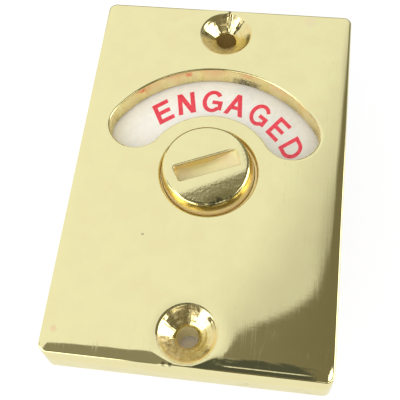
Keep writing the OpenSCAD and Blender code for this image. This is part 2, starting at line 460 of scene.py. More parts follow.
def makePitGroup():
    # small casting pits, sparse
    tree, gin, gout = newGroup("castPits", {"Scale": 900.0, "Cover": 0.08}, ("Mask",))
    cell = addNode(tree, "TexVoronoi", {"Vector": gin["Vector"], "Scale": gin["Scale"]}).outputs
    grey = addNode(tree, "RGBToBW", {"Color": cell["Color"]}).outputs["Val"]
    chosen = mathNode("LESS_THAN", grey, gin["Cover"])
    feed(times(chosen, rampNode(cell["Distance"], 0.28, 0.1), True), gout["Mask"])
    return tree


def makeTarnishGroup():
    # slow colour drift with a few warmer stains
    tree, gin, gout = newGroup("tarnish", {"Scale": 60.0, "Amount": 0.5}, ("Mask",))
    drift = noiseNode(gin["Vector"], gin["Scale"], 4.0)
    feed(times(rampNode(drift, 0.42, 0.75), gin["Amount"], True), gout["Mask"])
    return tree


polishMarks = makePolishGroup()
castPits = makePitGroup()
tarnish = makeTarnishGroup()

# brass

brass = {
    "pale": (0.862, 0.803, 0.435, 1),
    # deep gold: partly tarnish, partly painted shade and inter-reflection of walls and recesses
    "goldTarnishAndInterReflection": (0.78, 0.57, 0.18, 1),
    "paler": (0.85, 0.82, 0.60, 1),  # paler brass, on the plate's sides and inside the lower hole
    "stain": (0.80, 0.62, 0.36, 1),
    "pit": (0.16, 0.12, 0.05, 1),
    "edgeTint": (0.95, 0.90, 0.66, 1),
    "pits": {"Scale": 420.0, "Cover": 0.02}, "aged": {"Scale": 260.0, "Amount": 0.2},
    "dullRipple": 0.9, "dullStain": 3.0, "dullRough": 0.5,  # what dullness adds
    "markRough": 0.04, "scratchRough": 0.16, "pitDepth": 0.2,
    "frontY": (-0.0078, -0.0082), "wallY": (-0.0055, -0.0046),  # where marks show on the front and on the walls
}

plateFinish = {
    "polish": {"Wave": 0.35, "Marks": 1.5, "Scratch": 1.0}, "ripple": 0.01, "rough": 0.025,
    # stains and pits: x, z, radius, colour, amount
    "spots": (
        (-23.2, -33.8, 0.8, (0.84, 0.56, 0.36, 1), 0.5),
        (17.1, 36.2, 1.5, (0.86, 0.66, 0.48, 1), 0.3),
        (-3.3, -37.75, 0.4, (0.20, 0.17, 0.10, 1), 0.8),
        (-2.2, -37.8, 0.35, (0.20, 0.17, 0.10, 1), 0.8),
        (-10.3, -14.6, 0.28, (0.22, 0.18, 0.10, 1), 0.7),
        (0.3, 37.6, 0.45, (0.16, 0.11, 0.05, 1), 0.9),
    ),
    # dark broken marks low on the window's wall, near its back edge
    "wallSpots": (
        (3.2, 22.5, 1.1, (0.12, 0.10, 0.08, 1), 0.7),
        (5.0, 22.3, 1.6, (0.05, 0.05, 0.05, 1), 0.95),
        (6.8, 21.8, 1.2, (0.10, 0.085, 0.07, 1), 0.8),
    ),
}
turnFinish = {
    "polish": {"Wave": 0.3, "Marks": 0.6, "Scratch": 0.5}, "ripple": 0.34, "rough": 0.085,
    # painted dark reflection along the lower rim, as small broken marks
    "spots": (
        (1.5, -8.2, 0.35, (0.10, 0.10, 0.07, 1), 0.7),
        (2.1, -7.95, 0.45, (0.09, 0.09, 0.06, 1), 0.8),
        (2.75, -7.5, 0.42, (0.10, 0.10, 0.07, 1), 0.75),
        (3.3, -7.1, 0.4, (0.12, 0.12, 0.08, 1), 0.7),
        (2.5, -6.9, 0.2, (0.14, 0.14, 0.09, 1), 0.5),
        (4.3, -6.8, 0.3, (0.14, 0.14, 0.09, 1), 0.55),
        (5.0, -6.35, 0.22, (0.16, 0.15, 0.10, 1), 0.5),
    ),
    "wallSpots": (),
}


def addSpots(colour, flat, spots, ragged, offset, where):
    # ragged moves a spot's edge in and out, offset makes up for it
    for x, z, r, tint, amount in spots:
        away = addNode(flat.id_data, "VectorMath")
        away.operation = "DISTANCE"
        feed(flat, away.inputs[0])
        away.inputs[1].default_value = (x * mm, 0, z * mm)
        reach = plus(away.outputs["Value"], ragged)
        mask = rampNode(reach, (r + offset) * mm, (r * 0.5 + offset) * mm, 0.0, amount)
        colour = mixColour(times(mask, where), colour, tint)
    return colour


def polishedBrass(name, finish):
    b = brass
    mat, tree, bsdf = newMaterial(name)
    spot = objectSpot(tree)
    tone, dull = pointValue(tree, "tone"), pointValue(tree, "dull")
    ripple = plus(times(dull, b["dullRipple"]), finish["ripple"])
    polish = useGroup(polishMarks, spot, dict(finish["polish"], Ripple=ripple))
    pits = useGroup(castPits, spot, b["pits"])["Mask"]
    aged = useGroup(tarnish, spot, b["aged"])["Mask"]
    # the tone attribute deepens the colour towards gold: on walls and in recesses partly tarnish, partly painted shade
    # and inter-reflection
    colour = mixColour(tone, b["pale"], b["goldTarnishAndInterReflection"])
    colour = mixColour(times(tone, -1.0, True), colour, b["paler"])
    stained = times(aged, plus(times(dull, b["dullStain"]), 1.0), True)
    colour = mixColour(stained, colour, b["stain"])
    colour = mixColour(pits, colour, b["pit"])
    part = splitSpot(spot)
    flat = addNode(tree, "CombineXYZ", {"X": part["X"], "Z": part["Z"]}).outputs["Vector"]
    broken = times(noiseNode(spot, 1400.0, 4.0, 0.65), 0.0012)
    # stains and pits; on the turn these spots are a painted dark reflection
    colour = addSpots(colour, flat, finish["spots"], broken, 0.6, rampNode(part["Y"], *b["frontY"]))
    if finish["wallSpots"]:
        speck = noiseNode(spot, 2600.0, 3.0, 0.7)
        torn = times(noiseNode(spot, 700.0, 5.0, 0.75), 0.0036)
        low = rampNode(plus(part["Y"], times(speck, 0.003)), *b["wallY"])
        where = times(times(rampNode(dull, 0.1, 0.2), low), rampNode(speck, 0.36, 0.5))
        colour = addSpots(colour, flat, finish["wallSpots"], torn, 1.8, where)
    worn = plus(times(polish["Mask"], b["markRough"]), times(polish["Scratch"], b["scratchRough"]))
    rough = plus(plus(worn, times(dull, b["dullRough"])), finish["rough"])
    paint(bsdf, colour, rough, rampNode(dull, 0.3, 0.95, 1.0, 0.3))  # scoured metal scatters the light
    bumpFrom(bsdf, mathNode("SUBTRACT", polish["Height"], times(pits, b["pitDepth"])), 0.35, 0.0002)
    bsdf.inputs["Specular Tint"].default_value = b["edgeTint"]
    return mat


rawLook = {
    "pits": {"Scale": 1300.0, "Cover": 0.25}, "aged": {"Scale": 120.0, "Amount": 0.8}, "grain": 2600.0,
    "dark": (0.52, 0.38, 0.15, 1), "light": (0.70, 0.55, 0.26, 1),
    "stain": (0.30, 0.20, 0.085, 1), "pit": (0.14, 0.10, 0.05, 1),
}


def castBrass():
    # sand-cast inside of the plate, left as it came from the mould
    k = rawLook
    mat, tree, bsdf = newMaterial("castBrass")
    spot = objectSpot(tree)
    pits = useGroup(castPits, spot, k["pits"])["Mask"]
    aged = useGroup(tarnish, spot, k["aged"])["Mask"]
    grain = noiseNode(spot, k["grain"], 4.0, 0.65)
    colour = mixColour(aged, mixColour(grain, k["dark"], k["light"]), k["stain"])
    paint(bsdf, mixColour(pits, colour, k["pit"]), rampNode(grain, 0.3, 0.7, 0.42, 0.62), 1.0)
    bumpFrom(bsdf, mathNode("SUBTRACT", grain, pits), 0.6, 0.00025)
    return mat


plateBrass = polishedBrass("plateBrass", plateFinish)
turnBrass = polishedBrass("turnBrass", turnFinish)
rawBrass = castBrass()
print("brass mixed")

# face plate

facePlate = {
    "width": 51.0, "height": 76.0, "thick": 9.0, "edgeRound": 0.4, "cornerR": 1.6, "sidePale": -0.6,
    # width and drop of the polished-off edges
    "rollBottom": (3.4, 0.26), "rollTop": (2.0, 0.08), "rollSide": (1.7, 0.07), "sinkRoll": (2.6, 0.07),
    "rollWave": 0.12,
    "land": (0.35, 1.6),  # the bottom edge stays high this close to the lower countersink
    "cornerWear": (2.5, 0.8), "wearBelow": -33.0, "wearEase": 4.0,  # at the lower right
    "border": (3.4, 3.0, 2.6, 2.25, 1.95, 1.68, 1.45, 1.25, 1.08, 0.95, 0.85, 0.75, 0.65, 0.52),
    "backEdge": ((0.0, 0.35), (0.12, 0.08), (0.3, 0.0)),
    "endEdge": (0.62, 0.03), "endReach": (3.0, 7.0),  # the border is narrower beside the countersinks
    # a dull crease, so many rings in from the edge, and smears in the dark band along the bottom
    "creaseAt": 5, "crease": 0.9, "creaseBelow": -35, "creaseSpan": (6, 23.0),
    "smear": 0.32, "smearBelow": -34, "smearFrom": 4,
    "windowR": 17.9, "windowHalf": 5.4, "windowAngle": 58.0, "windowLip": 0.4, "lipSoft": 0.9,
    "wallTone": 0.18, "toneStreak": 1.6, "wallDull": 0.6, "dullStreak": 0.8, "wallH": 7.9,
    "seatR": 9.3, "seatShift": 0.12, "seatH": 7.0, "seatLip": 0.3, "stepR": 8.9, "stepH": 8.05, "stepTone": (0.7, 0.35),
    "boreR": 5.256,
    "screwZ": 32.0, "screwR": 2.15, "sinkR": 5.25, "sinkLip": 0.3, "sinkMouth": 1.1, "sinkSlope": 40.0,
    "sinkPoints": 240, "chatter": 0.05, "chatterMost": 232,
    "nick": 0.42, "nickTurn": 0.06, "nickWide": 0.085,  # filed into the top of the upper countersink
    # the cutter's rings: offset, rise, depth of colour
    "sinkRings": (
        (-0.75, 0.0, 1.1), (-0.95, 0.035, 0.5), (-1.4, 0.0, 1.1), (-1.55, 0.03, 0.45), (-1.95, 0.0, 1.1),
        (-2.3, 0.0, 0.8), (-2.45, 0.025, 0.45), (-2.85, 0.0, 1.1), (-3.2, 0.0, 1.0), (-3.3, -0.06, 0.6),
    ),
    "holeRings": ((-3.3, -0.3), (-3.1, -0.4)),
    "sinkAround": ((0.5, 120), (0.75, 110), (1.05, 100), (1.4, 90), (1.8, 80), (2.3, 70)),  # offset, points
    "sinkSmooth": {1: ((152, 34), (62, 28)), -1: ((165, 26), (50, 24))},  # angle and half width of the smooth parts
    "holeTone": {1: (0.7, 0.5), -1: (-0.4, 0.85)},  # tone and dullness inside the upper and the lower hole; the upper hole's deeper colour is painted shade
    "pocketR": 24.2, "floorH": 4.6, "footRound": 0.5, "webHalf": 8.0, "rim": 2.4,
    "pocketHigh": 17.0, "pocketWall": 26.0,
}


def rollOff(d, wide, drop):
    return drop * max(0.0, (wide - d) / wide) ** 2


def plateTop(x, z):
    p = facePlate
    halfW, halfH = p["width"] / 2, p["height"] / 2
    wavy = 1 + p["rollWave"] * noiseAt(x * 0.22, z * 0.3, 3.7)
    land = clamped((math.hypot(x, z + p["screwZ"]) - p["sinkR"] - p["land"][0]) / p["land"][1])
    h = p["thick"] - rollOff(halfH + z, *p["rollBottom"]) * wavy * eased(land)
    h -= rollOff(halfH - z, *p["rollTop"])
    h -= rollOff(halfW - abs(x), *p["rollSide"])
    for s in (-1, 1):
        h -= rollOff(math.hypot(x, z - s * p["screwZ"]) - p["sinkR"], *p["sinkRoll"])
    if x > 0:
        h -= rollOff(halfW - x, *p["cornerWear"]) * eased(clamped((p["wearBelow"] - z) / p["wearEase"]))
    return h


def plateOutline(d):
    # the plate's outline moved in by d
    p = facePlate
    r, end = p["edgeRound"], p["height"] / 2 - d
    tight = p["endEdge"][0] * min(d, r) + p["endEdge"][1] * max(0.0, d - r)
    full, none = p["endReach"]
    spots = []
    for x, z in boxOutline(p["width"] - 2 * d, p["height"] - 2 * d, max(p["cornerR"] - d, 0.12), 8, 84):
        if abs(z) > end - 0.001 and abs(x) < none:
            z = math.copysign(end - (tight - d) * eased(clamped((none - abs(x)) / (none - full))), z)
        spots.append((x, z))
    return spots


def smearBorder(m, flats):
    p = facePlate
    start, stop = p["creaseSpan"]
    for i in flats[-p["creaseAt"]]:
        x, z = m["points"][i][:2]
        if z < p["creaseBelow"] and x > start:
            m["dull"][i] = p["crease"] * min(1.0, (x - start) / 2, max(0.0, (stop - x) / 3))
    for i in (i for ring in flats[2:] for i in ring):
        x, z = m["points"][i][:2]
        if z < p["smearBelow"] and x > p["smearFrom"]:
            smear = noiseAt(x * 0.3, z * 2.4, 8.2) + 0.4 * noiseAt(x * 0.9, z * 4.0, 2.6)
            m["dull"][i] = max(m["dull"][i], p["smear"] * max(0.0, smear))


def lipRings(m, outlineAt, radius, toneEnd=1.0, dullEnd=1.0, soft=None):
    # rounds the front edge of an opening: outlineAt(d) is the opening's outline grown by d
    # soft(x, z) adds dullness along the lip

    def dull(share):
        matt = dullEnd * share ** 2
        return (lambda x, z: max(matt, soft(x, z) * min(1.0, 2.5 * share))) if soft else matt

    steps = quarterRound(radius, 6)
    return roundRings(m, plateTop, lambda d: outlineAt(radius - d), steps, lambda share: toneEnd * share ** 2, dull)


def windowOutline(d):
    return archOutline(facePlate["windowR"], facePlate["windowHalf"] + d, facePlate["windowAngle"])


def wallStreak(x, z, seed):
    along = math.atan2(x, z - axisZ) * facePlate["windowR"]
    return noiseAt(along * 0.75, seed, 4.4) + 0.5 * noiseAt(along * 1.6, seed, 9.1)


def addWindow(m):
    # lip, streaked wall and inner break
    p = facePlate

    def lipSoft(x, z):
        return p["lipSoft"] if math.hypot(x, z - axisZ) < p["windowR"] - 1 else 0.0

    def wallTone(x, z):
        return p["wallTone"] * (1 + p["toneStreak"] * wallStreak(x, z, 1.3))

    def wallDull(x, z):
        return p["wallDull"] * (1 + p["dullStreak"] * wallStreak(x, z, 6.8))

    rings = [addRing(m, windowOutline(d), plateTop) for d in (1.1, 0.75)]
    rings += lipRings(m, windowOutline, p["windowLip"], toneEnd=p["wallTone"], dullEnd=p["wallDull"], soft=lipSoft)
    for d, h in ((0.0, p["wallH"]), (0.0, p["floorH"] + 0.25), (0.15, p["floorH"])):
        rings.append(addRing(m, windowOutline(d), h, wallTone, wallDull))
    bandAll(m, rings)
    return rings


def addSeat(m):
    # seat of the turn, with a shallow step and the bore
    p = facePlate

    def seat(d):
        return circleOutline(p["seatShift"], axisZ, p["seatR"] + d, perCircle)

    rings = [addRing(m, seat(d), plateTop) for d in (0.8, 0.45)] + lipRings(m, seat, p["seatLip"])
    rings.append(addRing(m, seat(0), p["stepH"] + 0.1, 1.0, 0.6))
    rings.append(addRing(m, seat(-0.1), p["stepH"], *p["stepTone"]))
    for d in (0.05, 0.0):
        rings.append(axisRing(m, p["stepR"] + d, p["stepH"] - 0.05 + d, *p["stepTone"]))
    rings.append(axisRing(m, p["stepR"], p["seatH"], 1.0))
    rings += [axisRing(m, p["boreR"], h, 1.0) for h in (p["seatH"], p["floorH"])]
    bandAll(m, rings)
    return rings


def sinkOutline(s, d):
    # mouth of the upper (1) or lower (-1) countersink grown by d, with the cutter's chatter inside
    p = facePlate
    spots = []
    for i in range(p["sinkPoints"]):
        a = 2 * math.pi * i / p["sinkPoints"]
        rad = p["sinkR"] + d
        if -3.0 < d < -0.5:
            rough = 0.7 + 0.9 * max(0.0, math.cos(a - math.radians(p["chatterMost"])))
            rad += p["chatter"] * rough * noiseAt(math.cos(a) * 9, math.sin(a) * 9, s * 5 + d * 0.7)
        if s > 0 and -2.6 < d < 0.5:
            off = (a - math.pi / 2 + p["nickTurn"]) / p["nickWide"]
            rad += p["nick"] * math.exp(-off * off) * (0.1 if d > 0 else 1)
        spots.append((rad * math.cos(a), s * p["screwZ"] + rad * math.sin(a)))
    return spots


def scourAndShade(x, up, smooth):
    # deeper in colour and duller towards the lower left of each countersink, real scouring with painted
    # inter-reflection; two parts where the highlights fall stay pale and smooth, a painted highlight
    mark = 0.3 + 0.7 * clamped((-0.9 * up - 0.5 * x) / facePlate["sinkR"] + 0.1)
    for middle, half in smooth:
        off = abs((math.degrees(math.atan2(up, x)) - middle + 180) % 360 - 180) / half
        mark *= clamped((off - 0.75) / 0.5)
    return mark


def addSink(m, s):
    p = facePlate
    midZ, smooth, inHole = s * p["screwZ"], p["sinkSmooth"][s], p["holeTone"][s]

    def tone(x, z):
        return 0.25 + 0.75 * scourAndShade(x, z - midZ, smooth)

    def dull(x, z):
        gap = 0.5 + 0.5 * noiseAt(x * 2.6, z * 2.6, 1.5)
        return 0.1 + 0.7 * scourAndShade(x, z - midZ, smooth) * (0.5 + gap)

    def rimInterReflection(x, z):
        # painted inter-reflection: the mouth is deepest in colour at its lower right
        return clamped((0.9 * (midZ - z) + 0.45 * x) / p["sinkR"] + 0.25)

    cone = math.radians(p["sinkSlope"])
    steps = quarterRound(p["sinkMouth"], 8, cone)
    side, down = steps[-1][1:]
    rings = roundRings(
        m, plateTop, lambda d: sinkOutline(s, p["sinkLip"] - d), steps,
        lambda share: lambda x, z: max(tone(x, z) * share ** 2, rimInterReflection(x, z) * min(1.0, 2 * share)),
        lambda share: lambda x, z: dull(x, z) * min(1.0, share * 8 / 3),
    )

    def coneH(d):
        return p["thick"] - down - (p["sinkLip"] - side - d) * math.tan(cone)

    for d, rise, shade in p["sinkRings"]:
        rings.append(addRing(m, sinkOutline(s, d), coneH(d) + rise, lambda x, z: min(1.0, shade * tone(x, z)), dull))
    for d, rise in p["holeRings"]:
        rings.append(addRing(m, sinkOutline(s, d), coneH(d) + rise, *inHole))
    rings.append(addRing(m, sinkOutline(s, p["screwR"] - p["sinkR"]), 0.0, *inHole))
    bandAll(m, rings)
    return rings


def cornerPocket(sx, sz):
    # outline of one lightening pocket, cut round by the wall of the dial pocket
    p = facePlate
    x0, x1 = p["webHalf"], p["width"] / 2 - p["rim"]
    z1 = p["height"] / 2 - p["rim"]
    z0 = z1 - p["pocketHigh"]
    mid, r = axisZ * sz, p["pocketWall"]
    a0 = math.atan2(math.sqrt(r ** 2 - x0 ** 2), x0)
    a1 = math.atan2(z0 - mid, math.sqrt(r ** 2 - (z0 - mid) ** 2))
    angles = [a0 + (a1 - a0) * i / 14 for i in range(15)]
    spots = [(x0, z1)] + [(r * math.cos(a), mid + r * math.sin(a)) for a in angles] + [(x1, z0), (x1, z1)]
    return [(sx * x, sz * z) for x, z in spots]


def addCornerPocket(m, sx, sz):
    p = facePlate
    mouth = cornerPocket(sx, sz)
    middle = tuple(sum(q[k] for q in mouth) / len(mouth) for k in (0, 1))
    rings = [addRing(m, mouth, 0.0)]
    for inset, h in ((0.25, p["floorH"] - p["footRound"]), (0.8, p["floorH"])):
        rings.append(addRing(m, [between(q, middle, inset / math.dist(q, middle)) for q in mouth], h))
    bandAll(m, rings, 1)
    fillSheet(m, [rings[-1]], p["floorH"], 1)
    return rings[0]


def makeFacePlate():
    p = facePlate
    m = startMesh()

    # outer edge, from the flat of the front round to the back
    flats = [addRing(m, plateOutline(d), plateTop) for d in p["border"]]
    smearBorder(m, flats)
    r = p["edgeRound"]
    rings = flats + roundRings(
        m, plateTop, lambda d: plateOutline(r - d), quarterRound(r, 7),
        lambda share: p["sidePale"] if share == 1 else 0.0, lambda share: 0.0,
    )
    rings += [addRing(m, plateOutline(d), h, p["sidePale"], 0.0) for d, h in p["backEdge"]]
    bandAll(m, rings)

    # openings and the front sheet between them
    window = addWindow(m)
    seat = addSeat(m)
    sinks = [addSink(m, s) for s in (1, -1)]
    extra = [boxOutline(p["width"] - 2 * d, p["height"] - 2 * d, 0.1, 2, 70) for d in (3.8, 4.3)]
    for s in (1, -1):
        extra += [circleOutline(0, s * p["screwZ"], p["sinkR"] + d, n) for d, n in p["sinkAround"]]
    openings = [window[0], seat[0]] + [sink[0] for sink in sinks]
    fillSheet(m, [flats[0]] + openings, plateTop, pitch=0.9, extra=extra)

    # back: rim, dial pocket, corner pockets
    pocketMouth = axisRing(m, p["pocketR"], 0.0)
    pocketWall = axisRing(m, p["pocketR"], p["floorH"] - p["footRound"])
    pocketFoot = axisRing(m, p["pocketR"] - 0.4, p["floorH"])
    bandAll(m, [pocketMouth, pocketWall, pocketFoot], 1)
    fillSheet(m, [pocketFoot, window[-1], seat[-1]], p["floorH"], 1)
    mouths = [addCornerPocket(m, sx, sz) for sx in (-1, 1) for sz in (-1, 1)]
    fillSheet(m, [rings[-1], pocketMouth] + [sink[-1] for sink in sinks] + mouths, 0.0, 1)
    return finishMesh(m, "facePlate", [plateBrass, rawBrass])


plateObj = makeFacePlate()
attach(plateObj, "plate")
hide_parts("face_plate")
print("face plate:", len(plateObj.data.vertices), "points")

# coin-release turn

releaseTurn = {
    "topH": 11.7, "shoulderR": 8.3, "headShift": (-0.25, 0.12), "baseR": 8.82, "flareH": 8.7, "headH": 7.35,
    "edgeRound": 0.7, "edgeTone": 0.6, "edgeDull": 0.15,
    # the top is polished off below the slot and slightly worn at its right
    "rollTurn": 26.5, "rollStart": 3.0, "rollFull": 4.1, "rollSlope": 0.155, "rollRim": 6.4, "rollBend": 0.09,
    "wornTurn": 20.0, "wornStart": 6.0, "wornBend": 0.035,
    # share of the way down the side, tone, dullness
    "side": ((0.3, 1.0, 0.3), (0.5, 1.0, 0.4), (0.68, 0.6, 0.75), (1.0, 0.5, 0.85)),
    "slotLong": 12.1, "slotWide": 3.3, "slotCorner": 0.35, "slotTurn": 23.0, "slotShift": (0.06, -0.14),
    "slotDeep": 1.95, "slotEnd": 0.12, "slotLow": 1.5,  # deepest, right-hand end, place of the deepest point
    "slotLip": (0.46, 0.12), "slotCrest": 0.9,  # rounding of the upper and lower edge, wear along the upper one
    # foot of the slot's wall: offset, lift, most of the depth that it takes, tone
    "slotFoot": (
        (-0.03, 0.2, 0.4, 0.8), (-0.07, 0.09, 0.18, 0.45), (-0.14, 0.03, 0.06, 0.45),
        (-0.24, 0.0, 0.0, 0.12), (-0.4, 0.0, 0.0, 0.12), (-0.6, 0.0, 0.0, 0.12),
    ),
    "floorTone": 0.12, "floorDull": 0.6,
    "journalR": 5.206, "tailR": 4.506, "tailH": -9.0, "tailTone": 0.35, "socketHalf": 2.55,
    "discFront": 3.7, "discBack": 2.8, "grooveR": 4.106, "groove": (2.32, 1.48),
}


def turnTop(x, z):
    t = releaseTurn
    a, b = math.radians(t["rollTurn"]), math.radians(t["wornTurn"])
    below = x * math.sin(a) - (z - axisZ) * math.cos(a)
    right = x * math.cos(b) + (z - axisZ) * math.sin(b)
    ease = t["rollFull"] - t["rollStart"]
    bend = min(max(0.0, below - t["rollStart"]), ease)
    drop = t["rollSlope"] * (bend ** 2 / (2 * ease) + max(0.0, below - t["rollFull"]))
    drop += t["wornBend"] * max(0.0, right - t["wornStart"]) ** 2
    return t["topH"] - drop - t["rollBend"] * max(0.0, below - t["rollRim"]) ** 2


def addTurnBody(m):
    t = releaseTurn

    # top edge and tapered side
    def head(r):
        return circleOutline(t["headShift"][0], axisZ + t["headShift"][1], r, perCircle)

    e = t["edgeRound"]
    inner = t["shoulderR"] - e
    rings = [addRing(m, head(inner - 0.3), turnTop)] + roundRings(
        m, turnTop, lambda d: head(inner + d), quarterRound(e, 8),
        lambda share: t["edgeTone"] * share ** 3, lambda share: t["edgeDull"] * share ** 3,
    )
    tops = [turnTop(x, z) for x, z in head(inner)]
    shoulder, base = head(t["shoulderR"]), circleOutline(0, axisZ, t["baseR"], perCircle)
    for share, tone, dull in t["side"]:
        # the side leans out from the shoulder to the base
        spots = [between(a, b, share) for a, b in zip(shoulder, base)]
        heights = [(h - e) + (t["flareH"] - (h - e)) * share for h in tops]
        rings.append(addRing(m, spots, heights, tone, dull))
    rings.append(axisRing(m, t["baseR"], t["headH"] + 0.15, 1.0))
    rings.append(axisRing(m, t["baseR"] - 0.15, t["headH"], 1.0))

    # journal, keyed part, tail with the clip groove
    tailR, tailH, (grooveTop, grooveLow) = t["tailR"], t["tailH"], t["groove"]
    for r, h in (
        (t["journalR"], t["headH"]), (t["journalR"], t["discFront"]), (t["journalR"] - 0.3, t["discBack"]),
        (tailR, t["discBack"]), (tailR, grooveTop), (t["grooveR"], grooveTop), (t["grooveR"], grooveLow),
        (tailR, grooveLow), (tailR, tailH + 0.5), (tailR - 0.12, tailH + 0.15), (tailR - 0.4, tailH),
    ):
        rings.append(axisRing(m, r, h, t["tailTone"]))
    bandAll(m, rings)

    # square socket in the tail's end
    across = 2 * t["socketHalf"]
    socket = boxOutline(across, across, 0.2, 4, 8, math.radians(t["slotTurn"]), 0, axisZ, 0.005)
    mouth = addRing(m, socket, tailH, t["tailTone"])
    inside = addRing(m, socket, 0.0, t["tailTone"])
    fillSheet(m, [rings[-1], mouth], tailH)
    band(m, mouth, inside)
    fillSheet(m, [inside], 0.0)
    return rings[0]


def addCoinSlot(m):
    # its floor is curved like a coin's edge and runs out to nearly nothing at the right-hand end
    t = releaseTurn
    turn = math.radians(t["slotTurn"])
    shiftX, shiftZ = t["slotShift"]
    wide, thin = t["slotLip"]
    sag = t["slotDeep"] - t["slotEnd"]
    floorR = ((t["slotLong"] / 2 + t["slotLow"]) ** 2 + sag ** 2) / (2 * sag)

    def floorAt(x, z):
        along = x * math.cos(turn) + (z - axisZ) * math.sin(turn) + t["slotLow"]
        return t["topH"] - t["slotDeep"] + floorR - math.sqrt(floorR ** 2 - min(along ** 2, floorR ** 2 * 0.9))

    def depth(x, z):
        return max(0.02, turnTop(x, z) - floorAt(x, z))

    def outline(d):
        corner = t["slotCorner"] + max(d, -0.2)
        return boxOutline(
            t["slotLong"] + 2 * d, t["slotWide"] + 2 * d, corner, 6, 26, turn, shiftX, axisZ + shiftZ, 0.02,
        )

    def upperShare(x, z):
        # 1 along the slot's upper edge, 0 along the lower one
        across = (z - axisZ - shiftZ) * math.cos(turn) - (x - shiftX) * math.sin(turn)
        return eased(clamped(across / 1.6 + 0.5))

    upper = [upperShare(x, z) for x, z in outline(0)]

    def lipOutline(share, more=0.0):
        # the lip is wide along the upper edge and sharp along the lower one
        pairs = zip(outline(thin * share + more), outline(wide * share + more), upper)
        return [between(a, b, w) for a, b, w in pairs]

    rings = [addRing(m, lipOutline(1.0, d), turnTop) for d in (0.4, 0.15)]
    tops = [turnTop(x, z) for x, z in lipOutline(1.0)]
    lips = [min(thin + (wide - thin) * w, 0.5 * depth(x, z)) for (x, z), w in zip(outline(0), upper)]
    for i, (share, side, down) in enumerate(quarterRound(1.0, 5)):
        tone = share ** 2 * 0.7
        crest = t["slotCrest"] if i == 2 else 0.0
        rings.append(addRing(
            m, lipOutline(1 - side), [h - d * down for h, d in zip(tops, lips)], tone,
            lambda x, z: max(tone, crest * upperShare(x, z)),
        ))
    for d, lift, most, tone in t["slotFoot"]:
        rings.append(addRing(
            m, outline(d), lambda x, z: floorAt(x, z) + min(lift, most * depth(x, z)), tone, t["floorDull"],
        ))
    bandAll(m, rings)
    fillSheet(m, [rings[-1]], floorAt, pitch=0.5, tone=t["floorTone"], dull=t["floorDull"])
    return rings[0]


def makeReleaseTurn():
    m = startMesh()
    body = addTurnBody(m)
    slot = addCoinSlot(m)
    fillSheet(m, [body, slot], turnTop, pitch=0.6)
    return finishMesh(m, "releaseTurn", [turnBrass])


turnObj = makeReleaseTurn()
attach(turnObj, "turning_set")
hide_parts("release_turn")
print("release turn:", len(turnObj.data.vertices), "points")

# dial words, in plain upright strokes

dialWords = {
    "faceH": 4.0, "inkThick": 0.02, "ring": 17.9,
    "locked": (0.80, 0.042, 0.072, 1),
    "free": (0.02, 0.25, 0.09, 1),
    # letter, x, z, turn, width, height, stroke, lean
    "lockedWord": (
        ("E", -11.11, 14.89, -35.9, 2.59, 3.86, 0.92, 0.13),
        ("N", -6.64, 17.30, -18.8, 2.65, 4.01, 0.92, 0.13),
        ("G", -1.35, 18.28, 3.8, 3.28, 4.41, 0.87, 0.03),
        ("A", 3.53, 17.79, 12.5, 3.05, 4.23, 0.88, 0.0),
        ("G", 8.50, 15.85, 37.4, 3.33, 4.26, 0.84, -0.13),
        ("E", 12.47, 12.84, 44.8, 2.33, 3.98, 0.83, -0.13),
        ("D", 15.43, 8.54, 61.5, 2.98, 3.79, 0.80, -0.16),
    ),
    "freeWord": "VACANT", "freeMiddle": 192.0, "freeStep": 17.5, "freeLetter": (2.8, 4.0, 0.86, 0.0),
}


def arcLine(cx, cz, rx, rz, a0, a1, n=26):
    angles = [math.radians(a0 + (a1 - a0) * i / n) for i in range(n + 1)]
    return [(cx + rx * math.cos(a), cz + rz * math.sin(a)) for a in angles]


# strokes in a unit box: bars have square ends, legs are cut level top and bottom
letterStrokes = {
    "A": {"legs": [[(0, 0), (0.5, 1)], [(0.5, 1), (1, 0)]], "bars": [[(0.22, 0.33), (0.78, 0.33)]]},
    "C": {"bars": [arcLine(0.5, 0.5, 0.5, 0.5, 42, 318)]},
    "D": {"bars": [[(0, 0), (0, 1)], [(0, 1)] + arcLine(0.42, 0.5, 0.58, 0.5, 90, -90) + [(0, 0)]]},
    "E": {"bars": [[(0, 0), (0, 1)], [(0, 1), (1, 1)], [(0, 0), (1, 0)], [(0, 0.5), (0.9, 0.5)]]},
    "G": {"bars": [arcLine(0.5, 0.5, 0.5, 0.5, 38, 322), [(1, 0.16), (1, 0.46)], [(0.62, 0.46), (1, 0.46)]]},
    "N": {"bars": [[(0, 0), (0, 1)], [(1, 0), (1, 1)]], "legs": [[(0, 1), (1, 0)]]},
    "T": {"bars": [[(0, 1), (1, 1)], [(0.5, 0), (0.5, 1)]]},
    "V": {"legs": [[(0, 1), (0.5, 0)], [(0.5, 0), (1, 1)]]},
}


def legQuads(line, half):
    (ax, az), (bx, bz) = sorted(line, key=lambda p: p[1])
    across = half * math.hypot(bx - ax, bz - az) / abs(bz - az)
    return [[(ax - across, az - half), (ax + across, az - half), (bx + across, bz + half), (bx - across, bz + half)]]


def barQuads(line, half):
    sides = []
    for i, (x, z) in enumerate(line):
        a, b = line[max(i - 1, 0)], line[min(i + 1, len(line) - 1)]
        d = math.hypot(b[0] - a[0], b[1] - a[1])
        tx, tz = (b[0] - a[0]) / d * half, (b[1] - a[1]) / d * half
        if len(line) == 2:  # square ends reach half a stroke further
            x, z = (x - tx, z - tz) if i == 0 else (x + tx, z + tz)
        sides.append(((x - tz, z + tx), (x + tz, z - tx)))
    return [[a, b, d, c] for (a, b), (c, d) in zip(sides, sides[1:])]


